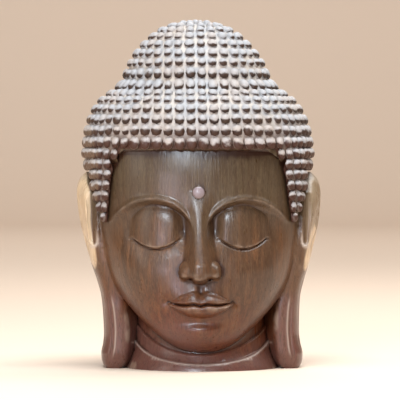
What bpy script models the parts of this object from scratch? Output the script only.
"""A Buddha head with two faces, carved from one block of dark wood.

The head is one solid. One face looks along -Y and the same face looks along +Y,
with a pair of long ears back to back on each side. Z is up, the head stands on
the flat underside of its neck and earlobes at Z = 0, and the origin is the
middle of that underside.

A carving is laid out in shares of its own height, so every size below that is
called a part is one two-hundredth of HEIGHT.
"""
import math

import bmesh
import bpy
import numpy as np
from mathutils import Matrix

HEIGHT = 0.200
PART = HEIGHT / 200

HEAD_HALF_WIDTH = 60.5
HEAD_HALF_DEPTH = 59.5
HEAD_ROUNDNESS = 2.3
NECK_WIDTH_SHARE = 0.636
NECK_DEPTH_SHARE = 1.11
NECK_ROUNDNESS = 2.1
EAR_ROOT_ROUNDNESS = 3.2
LEAN = 0.02
LEAN_PIVOT = 103.0

HAIRLINE = 127.0
CHIN = 13.0
FACE_THIRD = (HAIRLINE - CHIN) / 3
BROW = HAIRLINE - FACE_THIRD
NOSE_BASE = BROW - FACE_THIRD
MOUTH = NOSE_BASE - FACE_THIRD / 3
FACE_HALF_WIDTH = 0.942 * HEAD_HALF_WIDTH
EYE_WIDTH = FACE_HALF_WIDTH * 2 / 5
EYE_INNER = EYE_WIDTH / 2
EYE_OUTER = EYE_INNER + 1.18 * EYE_WIDTH
EYE_LEVEL = BROW - FACE_THIRD / 3
MOUTH_HALF_WIDTH = 0.77 * EYE_WIDTH
MARK_HEIGHT = 101.5
MARK_RADIUS = 3.6

CURL_PITCH = 6.65
SIDE_ROW = 6.05
CURL_RELIEF = 2.8
HAIR_EDGE_DROP = 2.0
HAIR_DEPTH_SHARE = 0.965
SIDE_COLUMNS = 64
SUNK_SHARE = 0.55
HAND_SEED = 7
HAND_PLAY = 0.35

LOBE_BEVEL = 2.1
EAR_VALLEY_DEPTH = 2.8
EAR_VALLEY_HALF_WIDTH = 1.9
EAR_VALLEY_TOP = 108.0
# The middles of the ears' hollows have x as a share of the head's half width.
BOWL_FOOT = (1.0182, 29.0, 74.5)
BOWL_HALF_SIZES = (3.3, 8.0, 5.0)
BOWL_LENGTH = 25.0
BOWL_LEAN = math.radians(3)
SIDE_HOLLOW_CENTRE = (1.1736, 13.6, 87.0)
SIDE_HOLLOW_HALF_SIZES = (4.6, 6.4, 18.0)
SIDE_HOLLOW_LEAN = math.radians(8)
SLIT_CENTRE = (0.8066, 24.0, 23.0)
SLIT_HALF_SIZES = (1.3, 3.4, 18.5)

CORE_COLUMNS = 240
CORE_ROW = 0.8
CORE_CARVED_TOP = 106.0
CORE_PLAIN_ROW = 4.0
CORE_TOP = 158.0
CORE_SHARE_KEPT = 0.058
EAR_COLUMNS = 20
FOOT_TRIM = 5.0


def smoothstep(low, high, value):
    """Rise from 0 to 1 between low and high."""
    t = np.clip((value - low) / (high - low), 0.0, 1.0)
    return t * t * (3 - 2 * t)


def soft_max(a, b, blend):
    """The larger of a and b, with the corner between them rounded."""
    share = np.clip(0.5 + 0.5 * (a - b) / blend, 0.0, 1.0)
    return b + (a - b) * share + blend * share * (1 - share)


def bell(value, centre, width):
    """A bell curve of height 1."""
    return np.exp(-(((value - centre) / width) ** 2))


def dome(across, along):
    """A round dome of height 1 over the ellipse across**2 + along**2 = 1."""
    return np.sqrt(np.clip(1 - across**2 - along**2, 0.0, 1.0))


def through(*points):
    """A smooth curve through points that never swings past them."""
    xs, ys = np.array(points, dtype=float).T
    gaps = np.diff(xs)
    slopes = np.diff(ys) / gaps
    ends = np.zeros(len(xs))
    ends[0], ends[-1] = slopes[0], slopes[-1]
    for i in range(1, len(xs) - 1):
        if slopes[i - 1] * slopes[i] > 0:
            before = 2 * gaps[i] + gaps[i - 1]
            after = gaps[i] + 2 * gaps[i - 1]
            ends[i] = (before + after) / (before / slopes[i - 1] + after / slopes[i])

    def curve(x):
        x = np.clip(x, xs[0], xs[-1])
        i = np.clip(np.searchsorted(xs, x) - 1, 0, len(xs) - 2)
        t = (x - xs[i]) / gaps[i]
        level = (2 * t**3 - 3 * t**2 + 1) * ys[i] + (3 * t**2 - 2 * t**3) * ys[i + 1]
        lean = (t**3 - 2 * t**2 + t) * ends[i] + (t**3 - t**2) * ends[i + 1]
        return level + gaps[i] * lean

    return curve


def rounded_section(angle, half_width, half_depth, roundness):
    """Radius of a rounded oval at an angle from the -Y side."""
    across = np.abs(np.sin(angle) / half_width) ** roundness
    along = np.abs(np.cos(angle) / half_depth) ** roundness
    return (across + along) ** (-1 / roundness)


# The block of the two faces, as shares of the head's half width and half depth.
FACE_WIDTH = through(
    (5, 0.13), (9, 0.40), (13, 0.53), (18, 0.645), (25, 0.74), (35, 0.826), (50, 0.909),
    (65, 0.959), (85, 0.992), (105, 1.0), (127, 0.992), (145, 0.926), (158, 0.76), (166, 0.595))
FACE_DEPTH = through(
    (5, 0.37), (8, 0.571), (12, 0.79), (16, 0.874), (22, 0.924), (30, 0.951), (45, 0.975),
    (60, 0.985), (80, 0.985), (95, 0.998), (110, 0.996), (127, 0.966), (145, 0.89),
    (158, 0.74), (166, 0.571))
# The neck flares to its foot, and two folds step out under the jaw.
NECK_FLARE = through((0, 1.11), (4, 1.07), (12, 1.0), (30, 0.98), (60, 0.98))
JAW_RISE = through((15, 42.0), (70, 0.0))

# The cheeks run out sideways into the ears, and a web joins the neck to the lobes behind them.
EAR_ROOT = through(
    (34, 0.80), (42, 0.885), (50, 0.92), (62, 0.95), (76, 0.97), (90, 0.97), (118, 0.95), (150, 0.72))
EAR_ROOT_DEPTH = through((33, 9.0), (44, 31.0))

BROW_ARCH = through(
    (3, BROW - 9), (6, BROW - 2.2), (11, BROW + 3.2), (18, BROW + 6.8), (26, BROW + 8.2),
    (35, BROW + 6.8), (43, BROW + 2.6), (50, BROW - 3.4))
SOCKET_FLOOR = through((6, 68), (14, 64), (26, 61), (38, 63), (50, 71))
SOCKET_DEPTH = through(
    (4.2, 0), (6.4, 3.2), (9.5, 5.2), (14, 5.0), (24, 4.1), (36, 2.8), (46, 1.1), (52, 0))

NOSE_RISE = through(
    (50, 7.5), (52.5, 10.2), (56, 12.0), (59.5, 12.1), (64, 10.6), (72, 7.6), (82, 4.6),
    (90, 2.4), (97, 0.8), (103, 0))
NOSE_HALF_WIDTH = through(
    (50, 9.4), (57, 10.0), (64, 9.2), (74, 8.0), (84, 7.2), (92, 8.0), (100, 10))
NOSTRIL_RIM = through(
    (0, NOSE_BASE - 0.4), (3, NOSE_BASE), (6, NOSE_BASE + 1.4), (10, NOSE_BASE + 1.2),
    (14, NOSE_BASE + 2.5))

LIP_TOP = through((0, 5.1), (3.4, 6.1), (9, 4.8), (14, 2.7), (19, 1.2))
LIP_SEAM = through((0, -0.7), (4, 0.1), (9, -0.4), (14, 0.2), (19, 1.3))
LIP_FOOT = through((0, -7.6), (5, -7.2), (11, -5.2), (16, -1.8), (19, 0.8))


def sockets(side, z):
    """The hollows between brow and cheek, with a crisp brow edge."""
    share = (BROW_ARCH(side) - z) / (BROW_ARCH(side) - SOCKET_FLOOR(side))
    shape = smoothstep(-0.02, 0.13, share) * (1 - smoothstep(0.38, 1.0, share))
    ridge = bell(z, BROW_ARCH(side) + 0.9, 1.9) * smoothstep(54, 40, side) * smoothstep(3, 8, side)
    return 1.1 * ridge - SOCKET_DEPTH(side) * shape


def closed_lids(surface, side, z):
    """Full upper lids that end in a downward lash line, over narrow lower lids."""
    span = np.clip((side - EYE_INNER) / (EYE_OUTER - EYE_INNER), 0.0, 1.0)
    lash = EYE_LEVEL - 0.6 - 5.6 * np.sin(math.pi * span) ** 0.85
    middle = EYE_INNER + 0.60 * EYE_WIDTH
    ball = -5.5 + 6.4 * dome((side - middle) / 17.5, (z - EYE_LEVEL - 2.0) / 16.0)
    upper = soft_max(surface, ball, 6.0) - 0.9
    lower = soft_max(surface * 0.75, ball - 1.9, 2.4) - 0.2
    above = smoothstep(-0.55, 0.45, z - lash)
    inside = smoothstep(EYE_INNER - 3.5, EYE_INNER + 4.0, side)
    inside = inside * smoothstep(EYE_OUTER + 4.0, EYE_OUTER - 1.0, side)
    arch, floor = BROW_ARCH(side), SOCKET_FLOOR(side)
    inside = inside * smoothstep(arch + 0.5, arch - 3.5, z) * smoothstep(floor - 6.0, floor + 2.0, z)
    lids = above * upper + (1 - above) * lower - 0.9 * bell(z, lash - 0.7, 0.8)
    return surface * (1 - inside) + lids * inside


def cheeks_and_chin(x, z):
    """Full cheeks, the swell behind the lips and a round chin."""
    side = np.abs(x)
    cheeks = 2.2 * bell(side, 31, 17) * bell(z, 55, 15)
    muzzle = 3.2 * bell(x, 0, 20) * bell(z, MOUTH + 1.5, 12)
    chin = 3.4 * bell(x, 0, 13) * bell(z, CHIN + 9.5, 7.5)
    chin_fold = 2.2 * bell(x, 0, 12) * bell(z, MOUTH - 10.2, 3.2)
    return cheeks + muzzle + chin - chin_fold


def nose(x, z):
    """A straight nose with a round tip and wings."""
    side = np.abs(x)
    ridge = NOSE_RISE(z) * (1 - smoothstep(0.12, 1.12, side / NOSE_HALF_WIDTH(z)))
    wings = 10.4 * dome((side - 6.7) / 5.4, (z - NOSE_BASE - 5.6) / 7.0) - 3.4
    shape = soft_max(ridge, wings, 3.2)
    shape = shape * smoothstep(-1.4, 2.0, z - NOSTRIL_RIM(side))
    nostrils = 3.0 * bell(side, 5.2, 2.0) * bell(z, NOSE_BASE + 1.2, 1.5)
    return shape - nostrils * smoothstep(0.5, 3.0, shape)


def lips(x, z):
    """Full closed lips with upturned corners, under a shallow groove."""
    side = np.abs(x)
    level = z - MOUTH
    top, meeting, foot = LIP_TOP(side), LIP_SEAM(side), LIP_FOOT(side)
    taper = np.clip(1 - (side / (MOUTH_HALF_WIDTH + 1.2)) ** 2.6, 0.0, 1.0) ** 0.6
    up = np.clip((level - meeting) / (top - meeting), 0.0, 1.7)
    down = np.clip((meeting - level) / (meeting - foot), 0.0, 0.9999)
    upper = 3.5 * (1 - smoothstep(0.05, 1.3, up)) + 0.45 * bell(up, 1.02, 0.17)
    lower = 4.6 * np.sin(math.pi * (0.1 + 0.9 * down) ** 0.74) ** 0.8
    shape = taper * np.where(level >= meeting, upper, lower)
    ends = smoothstep(MOUTH_HALF_WIDTH + 2.0, MOUTH_HALF_WIDTH - 1.0, side)
    seam = 2.3 * bell(level, meeting, 0.85) * ends
    corners = 1.5 * bell(side, MOUTH_HALF_WIDTH + 1.4, 2.8) * bell(level, 1.2, 2.8)
    groove = 0.8 * bell(x, 0, 1.9) * smoothstep(4.0, 6.5, level) * smoothstep(12.5, 10.0, level)
    return shape - seam - corners - groove


def face_relief(x, z):
    """How far the carving stands forward of the block of the face."""
    side = np.abs(x)
    relief = closed_lids(sockets(side, z), side, z)
    relief = relief + cheeks_and_chin(x, z) + nose(x, z) + lips(x, z)
    return relief + 1.9 * dome(x / MARK_RADIUS, (z - MARK_HEIGHT) / MARK_RADIUS) ** 0.8


def core_points(angle, z):
    """Points of the two faces and the neck at angles from the -Y side."""
    turn = np.abs((angle + math.pi) % (2 * math.pi) - math.pi)
    turn = np.where(turn > math.pi / 2, math.pi - turn, turn)
    rise = JAW_RISE(z) * (1 - np.cos(turn))
    jaw = z - rise
    face = rounded_section(angle, HEAD_HALF_WIDTH * FACE_WIDTH(jaw),
                           HEAD_HALF_DEPTH * FACE_DEPTH(jaw), HEAD_ROUNDNESS)
    folds = (1.3 * smoothstep(9.6, 8.8, z - 0.7 * rise)
             + 1.2 * smoothstep(4.6, 3.8, z - 0.45 * rise))
    flare = HEAD_HALF_WIDTH * NECK_WIDTH_SHARE * NECK_FLARE(z)
    neck = rounded_section(angle, flare, flare * NECK_DEPTH_SHARE, NECK_ROUNDNESS)
    root = rounded_section(angle, HEAD_HALF_WIDTH * EAR_ROOT(z), EAR_ROOT_DEPTH(z),
                           EAR_ROOT_ROUNDNESS)
    radius = soft_max(soft_max(face, neck + folds, 1.2), root, 3.0)
    x = radius * np.sin(angle)
    y = -radius * np.cos(angle)
    power = HEAD_ROUNDNESS - 1
    out_x = np.sign(x) * np.abs(x / HEAD_HALF_WIDTH) ** power / HEAD_HALF_WIDTH
    out_y = np.sign(y) * np.abs(y / HEAD_HALF_DEPTH) ** power / HEAD_HALF_DEPTH
    length = np.hypot(out_x, out_y)
    relief = face_relief(x, z) * smoothstep(0.1, 0.4, np.abs(np.cos(angle))) * smoothstep(8, 12, z)
    return x + relief * out_x / length, y + relief * out_y / length


# The outside of the hair through the curls' tips: radius as a share of the head's half width,
# and height.
HAIR_OUTLINE = (
    (1.1058, 78), (1.1157, 95), (1.1207, 112), (1.119, 121), (1.1091, 130), (1.0793, 140),
    (1.0298, 147.6), (0.9752, 153.3), (0.9025, 157.4), (0.8165, 160.6), (0.7438, 163.7),
    (0.7107, 168.4), (0.6711, 175.6), (0.6132, 181), (0.5438, 186.3), (0.4661, 191),
    (0.3702, 195.3), (0.2215, 199.2), (0.0826, 200.6), (0, 200.8))
HAIR_ROUNDNESS = through((120, 2.25), (165, 2.05))
# Where the hair stops towards the face at each row's lower edge, as a share of the head's half
# width, top row first.
FACE_EDGE = (0.6942, 0.7901, 0.8264, 0.843, 0.8512, 0.8628, 0.8744, 0.8843)
# The first and last column of each row beside the face, counted from the middle of the face.
SIDE_CURLS = ((7, 16), (8, 16), (8, 12), (8, 12), (8, 11), (8, 10), (8, 9))
# A point of the hair's net is free, at the edge of the hair, or sunk where the hair leaves the
# head bare.
FREE, EDGE, SUNK = range(3)


def arc_curve(points):
    """Radius, height and outward direction along an outline, by its length."""
    points = np.array(points, dtype=float) * (HEAD_HALF_WIDTH, 1)
    steps = np.hypot(*np.diff(points, axis=0).T)
    length = np.concatenate([[0.0], np.cumsum(steps)])
    radius = through(*zip(length, points[:, 0]))
    height = through(*zip(length, points[:, 1]))

    def place(s):
        slope = np.array([radius(s + 0.3) - radius(s - 0.3), height(s + 0.3) - height(s - 0.3)])
        slope = slope / np.linalg.norm(slope)
        return float(radius(s)), float(height(s)), slope[1], -slope[0]

    return place, length[-1]


def net_place(row, steps):
    """Whether a point of the net below the hairline is free, at the edge or sunk."""
    def reach(strip):
        if strip < 0:
            return FREE
        if strip == len(SIDE_CURLS):
            return SUNK
        first, last = SIDE_CURLS[strip]
        inside = first < steps and (steps < last or last == SIDE_COLUMNS // 4)
        return FREE if inside else EDGE if first <= steps <= last else SUNK

    above, below = reach(row - 1), reach(row)
    if above == SUNK:
        return SUNK
    return FREE if above == below == FREE else EDGE


def hair_rings():
    """Valley rings between the rows of curls, from the lowest row to the crown.

    Each ring is a list of (angle, radius, height, place), and sunk points lie
    inside the head, where the hair leaves the face and the ears free.
    """
    place, total = arc_curve(HAIR_OUTLINE)
    lengths = np.linspace(0, total, 2000)
    heights = [place(s)[1] for s in lengths]
    start = float(np.interp(HAIRLINE - 0.5, heights, lengths))
    rings = []
    for row in range(len(SIDE_CURLS), -1, -1):
        radius, z, out, _ = place(start - SIDE_ROW * row)
        radius = radius - CURL_RELIEF * out
        quarter = SIDE_COLUMNS // 4
        roundness = HAIR_ROUNDNESS(z)
        depth = radius * HAIR_DEPTH_SHARE
        first = SIDE_CURLS[max(row - 1, 0)][0]
        edge = HEAD_HALF_WIDTH * FACE_EDGE[row]
        edge_y = depth * (1 - (edge / radius) ** roundness) ** (1 / roundness)
        edge_angle = math.atan2(edge, edge_y)
        ring = []
        for column in range(SIDE_COLUMNS):
            fold = column % (2 * quarter)
            steps = min(fold, 2 * quarter - fold)
            turn = np.interp(steps, (0, first, quarter), (0, edge_angle, math.pi / 2))
            angle = turn if fold <= quarter else math.pi - turn
            angle = angle + (math.pi if column >= 2 * quarter else 0)
            ring.append((angle, radius, z, net_place(row, steps)))
        rings.append(ring)
    rows = round((total - start) / CURL_PITCH)
    for row in range(1, rows):
        radius, z, out, up = place(start + (total - start) * row / (rows - 0.45))
        radius = radius - CURL_RELIEF * out
        z = z - CURL_RELIEF * up
        count = 2 * max(3, round(math.pi * radius / CURL_PITCH))
        ring = [(2 * math.pi * i / count, radius, z, FREE) for i in range(count)]
        rings.append(ring)
    return rings


def hair_cells(bm, lower, upper):
    """Four-sided cells between two rings, with a three-sided one where a column ends."""
    fuller, other = (lower, upper) if len(lower) >= len(upper) else (upper, lower)
    count, fewer = len(fuller), len(other)
    start = (fuller[0][0] - other[0][0]) * fewer / (2 * math.pi)
    nearest = [round(start + i * fewer / count) for i in range(count + 1)]
    cells = []
    for i in range(count):
        corners = [fuller[i], fuller[(i + 1) % count], other[nearest[i + 1] % fewer]]
        if nearest[i + 1] != nearest[i]:
            corners.append(other[nearest[i] % fewer])
        face = bm.faces.new([vertex[1] for vertex in corners])
        if len(corners) == 4 and SUNK not in [vertex[2] for vertex in corners]:
            cells.append(face)
    return cells


def make_hair():
    """The cap of curls over both faces, with one stud for each curl."""
    bm = bmesh.new()
    hand = np.random.default_rng(HAND_SEED)
    rings = []
    for ring in hair_rings():
        row = []
        for angle, radius, z, net in ring:
            half_depth = radius * HAIR_DEPTH_SHARE
            reach = rounded_section(angle, radius, half_depth, HAIR_ROUNDNESS(z))
            reach = {FREE: reach, EDGE: reach - HAIR_EDGE_DROP, SUNK: reach * SUNK_SHARE}[net]
            play = hand.uniform(-HAND_PLAY, HAND_PLAY, 2) * (z > HAIRLINE)
            turn = angle + play[0] / radius
            point = placed(reach * math.sin(turn), -reach * math.cos(turn), z + play[1])
            row.append((angle, bm.verts.new(point), net))
        rings.append(row)
    cells = []
    for lower, upper in zip(rings, rings[1:]):
        cells += hair_cells(bm, lower, upper)
    bm.faces.new([vertex[1] for vertex in reversed(rings[0])])
    cells.append(bm.faces.new([vertex[1] for vertex in rings[-1]]))
    bmesh.ops.recalc_face_normals(bm, faces=bm.faces[:])
    bmesh.ops.poke(bm, faces=cells, offset=CURL_RELIEF * PART, center_mode="MEAN")
    return link_mesh("hair", bm)


def placed(x, y, z):
    """A point in metres, leaned a little to -X as the block was cut."""
    return (PART * (x + LEAN * (LEAN_PIVOT - z)), PART * y, PART * z)


def link_mesh(name, bm):
    """Turn a bmesh into a linked object."""
    mesh = bpy.data.meshes.new(name)
    bm.to_mesh(mesh)
    bm.free()
    obj = bpy.data.objects.new(name, mesh)
    bpy.context.collection.objects.link(obj)
    return obj


def bridge_rings(name, rings):
    """A closed body through rings of points, all with the same count."""
    bm = bmesh.new()
    loops = []
    for ring in rings:
        verts = [bm.verts.new(placed(*point)) for point in ring]
        loops.append([bm.edges.new((a, b)) for a, b in zip(verts, verts[1:] + verts[:1])])
    for lower, upper in zip(loops, loops[1:]):
        bmesh.ops.bridge_loops(bm, edges=lower + upper)
    bmesh.ops.holes_fill(bm, edges=loops[0] + loops[-1])
    bmesh.ops.recalc_face_normals(bm, faces=bm.faces[:])
    return link_mesh(name, bm)


def make_core():
    """The two faces, the jaws and the neck."""
    share = np.linspace(0, 1, CORE_COLUMNS, endpoint=False)
    angles = 2 * math.pi * share - 0.38 * np.sin(4 * math.pi * share)
    heights = np.concatenate([
        [-FOOT_TRIM], np.arange(0, CORE_CARVED_TOP, CORE_ROW),
        np.arange(CORE_CARVED_TOP, CORE_TOP, CORE_PLAIN_ROW)])
    rings = []
    for z in heights:
        x, y = core_points(angles, np.full_like(angles, z))
        rings.append(list(zip(x, y, np.full_like(x, z))))
    core = bridge_rings("buddha_head", rings)
    carving = core.modifiers.new("carving", "DECIMATE")
    carving.ratio = CORE_SHARE_KEPT
    return core


# The ears' outer crest and their inner side, as shares of the head's half width by height.
EAR_CREST = through(
    (-5, 0.876), (0, 0.9223), (2, 0.9455), (5, 0.9587), (8, 0.962), (14, 0.9421), (20, 0.9322),
    (31, 0.9372), (41, 0.9504), (50, 0.9868), (59, 1.0347), (68, 1.0744), (77, 1.1124),
    (86, 1.1438), (94, 1.1587), (101, 1.1653), (105, 1.157), (109, 1.1322), (113, 1.0661))
EAR_INNER = through(
    (-5, 0.7769), (0, 0.7107), (1.5, 0.6843), (3, 0.6645), (6, 0.6347), (11, 0.6), (17, 0.5835),
    (24, 0.5736), (32, 0.5884), (42, 0.6777), (60, 0.7769), (115, 0.8595))
# Where the lobes' front turns in towards the neck, as a share of the head's half width.
LOBE_EDGE = through(
    (-5, 0.8264), (0, 0.7669), (2, 0.7273), (5, 0.7008), (11, 0.6777), (17, 0.6661), (23, 0.6628),
    (29, 0.676), (34, 0.7041), (42, 0.6777), (60, 0.6612))
# How far each ear reaches forward and back.
EAR_REACH = through(
    (0, 19.5), (3, 21.4), (9, 22.6), (20, 23), (45, 24.5), (65, 26.5), (85, 26), (98, 24),
    (105, 19), (110, 12), (113, 4))
EAR_ROUNDNESS = through((0, 3.4), (40, 3.2), (60, 2.8), (80, 2.4), (115, 2.2))
EAR_HEIGHTS = (
    -FOOT_TRIM, 0, 2, 5, 10, 17, 26, 38, 49, 61, 73, 86, 96, 101, 105, 109, 112.2)


def make_ear(side):
    """Both long ears of one side, back to back, down to the ends of their lobes."""
    rings = []
    for z in EAR_HEIGHTS:
        half = HEAD_HALF_WIDTH * (EAR_CREST(z) - EAR_INNER(z)) / 2
        middle = HEAD_HALF_WIDTH * (EAR_CREST(z) + EAR_INNER(z)) / 2
        angles = np.arange(EAR_COLUMNS) * 2 * math.pi / EAR_COLUMNS
        reach = rounded_section(angles, half, EAR_REACH(z), EAR_ROUNDNESS(z))
        x = side * middle + reach * np.sin(angles)
        inward = np.maximum(HEAD_HALF_WIDTH * LOBE_EDGE(z) - np.abs(x), 0)
        depth = np.minimum(np.abs(reach * np.cos(angles)), EAR_REACH(z) - LOBE_BEVEL * inward)
        y = -np.sign(np.cos(angles)) * depth
        rings.append(list(zip(x, y, np.full_like(x, z))))
    name = "ear_left" if side < 0 else "ear_right"
    ear = bridge_rings(name, rings)
    cut(ear, make_valley(name + "_valley", side))
    for face, way in ((-1, "_front"), (1, "_back")):
        bowl = make_hollow(name + "_bowl" + way, side, face, BOWL_FOOT, BOWL_HALF_SIZES, BOWL_LENGTH)
        bowl.rotation_euler = (0, side * BOWL_LEAN, 0)
        dip = make_hollow(name + "_dip" + way, side, face, SIDE_HOLLOW_CENTRE, SIDE_HOLLOW_HALF_SIZES)
        dip.rotation_euler = (0, side * SIDE_HOLLOW_LEAN, 0)
        slit = make_hollow(name + "_slit" + way, side, face, SLIT_CENTRE, SLIT_HALF_SIZES)
        for cutter in (bowl, dip, slit):
            cut(ear, cutter)
    return ear


def make_valley(name, side):
    """The cutter of the valley between the two ears of one side, along their crest."""
    rings = []
    for z in (height for height in EAR_HEIGHTS if height <= EAR_VALLEY_TOP):
        crest = HEAD_HALF_WIDTH * EAR_CREST(z)
        depth = EAR_VALLEY_DEPTH * float(smoothstep(EAR_VALLEY_TOP + 2, EAR_VALLEY_TOP - 8, z))
        half_width = EAR_VALLEY_HALF_WIDTH * (1 + EAR_VALLEY_HALF_WIDTH / depth)
        outer = side * (crest + EAR_VALLEY_HALF_WIDTH)
        rings.append([(side * (crest - depth), 0, z), (outer, -half_width, z), (outer, half_width, z)])
    return bridge_rings(name, rings)


def make_hollow(name, side, face, centre, half_sizes, length=0.0):
    """An oval cutter on one side of the head, with its upper half raised by a length."""
    x, y, z = centre
    bm = bmesh.new()
    bmesh.ops.create_uvsphere(bm, u_segments=12, v_segments=8, radius=1.0)
    bmesh.ops.rotate(bm, matrix=Matrix.Rotation(math.pi / 12, 3, "Z"), verts=bm.verts[:])
    bmesh.ops.scale(bm, vec=[PART * c for c in half_sizes], verts=bm.verts[:])
    upper = [vertex for vertex in bm.verts if vertex.co.z > 0.01 * PART]
    bmesh.ops.translate(bm, vec=(0, 0, PART * length), verts=upper)
    hollow = link_mesh(name, bm)
    hollow.location = placed(side * HEAD_HALF_WIDTH * x, face * y, z)
    return hollow


def join(base, other):
    """Unite another body with the base."""
    add_boolean(base, other, "UNION")


def cut(base, cutter):
    """Take a cutter out of the base."""
    add_boolean(base, cutter, "DIFFERENCE")


def add_boolean(base, other, operation):
    """Add an exact Boolean and leave its other body out of the finished object."""
    modifier = base.modifiers.new(other.name, "BOOLEAN")
    modifier.operation = operation
    modifier.solver = "EXACT"
    modifier.object = other
    other.hide_render = True
    other.display_type = "WIRE"


def make_table_cut():
    """The level under the neck and the lobes, down from Z = 0."""
    bm = bmesh.new()
    bmesh.ops.create_cube(bm, size=1.0)
    bmesh.ops.scale(bm, vec=[PART * c for c in (200, 200, 4 * FOOT_TRIM)], verts=bm.verts[:])
    bmesh.ops.translate(bm, vec=(0, 0, -2 * FOOT_TRIM * PART), verts=bm.verts[:])
    return link_mesh("table_cut", bm)


def wood():
    """Dark oiled hibiscus wood."""
    material = bpy.data.materials.new("dark_hibiscus_wood")
    material.use_nodes = True
    shader = material.node_tree.nodes["Principled BSDF"]
    shader.inputs["Base Color"].default_value = (0.090, 0.046, 0.024, 1.0)
    shader.inputs["Roughness"].default_value = 0.36
    shader.inputs["Metallic"].default_value = 0.0
    return material


def main():
    """Carve the head in an empty scene."""
    for obj in list(bpy.data.objects):
        bpy.data.objects.remove(obj)
    head = make_core()
    join(head, make_hair())
    for side in (-1, 1):
        join(head, make_ear(side))
    cut(head, make_table_cut())
    head.data.materials.append(wood())


if __name__ == "__main__":
    main()
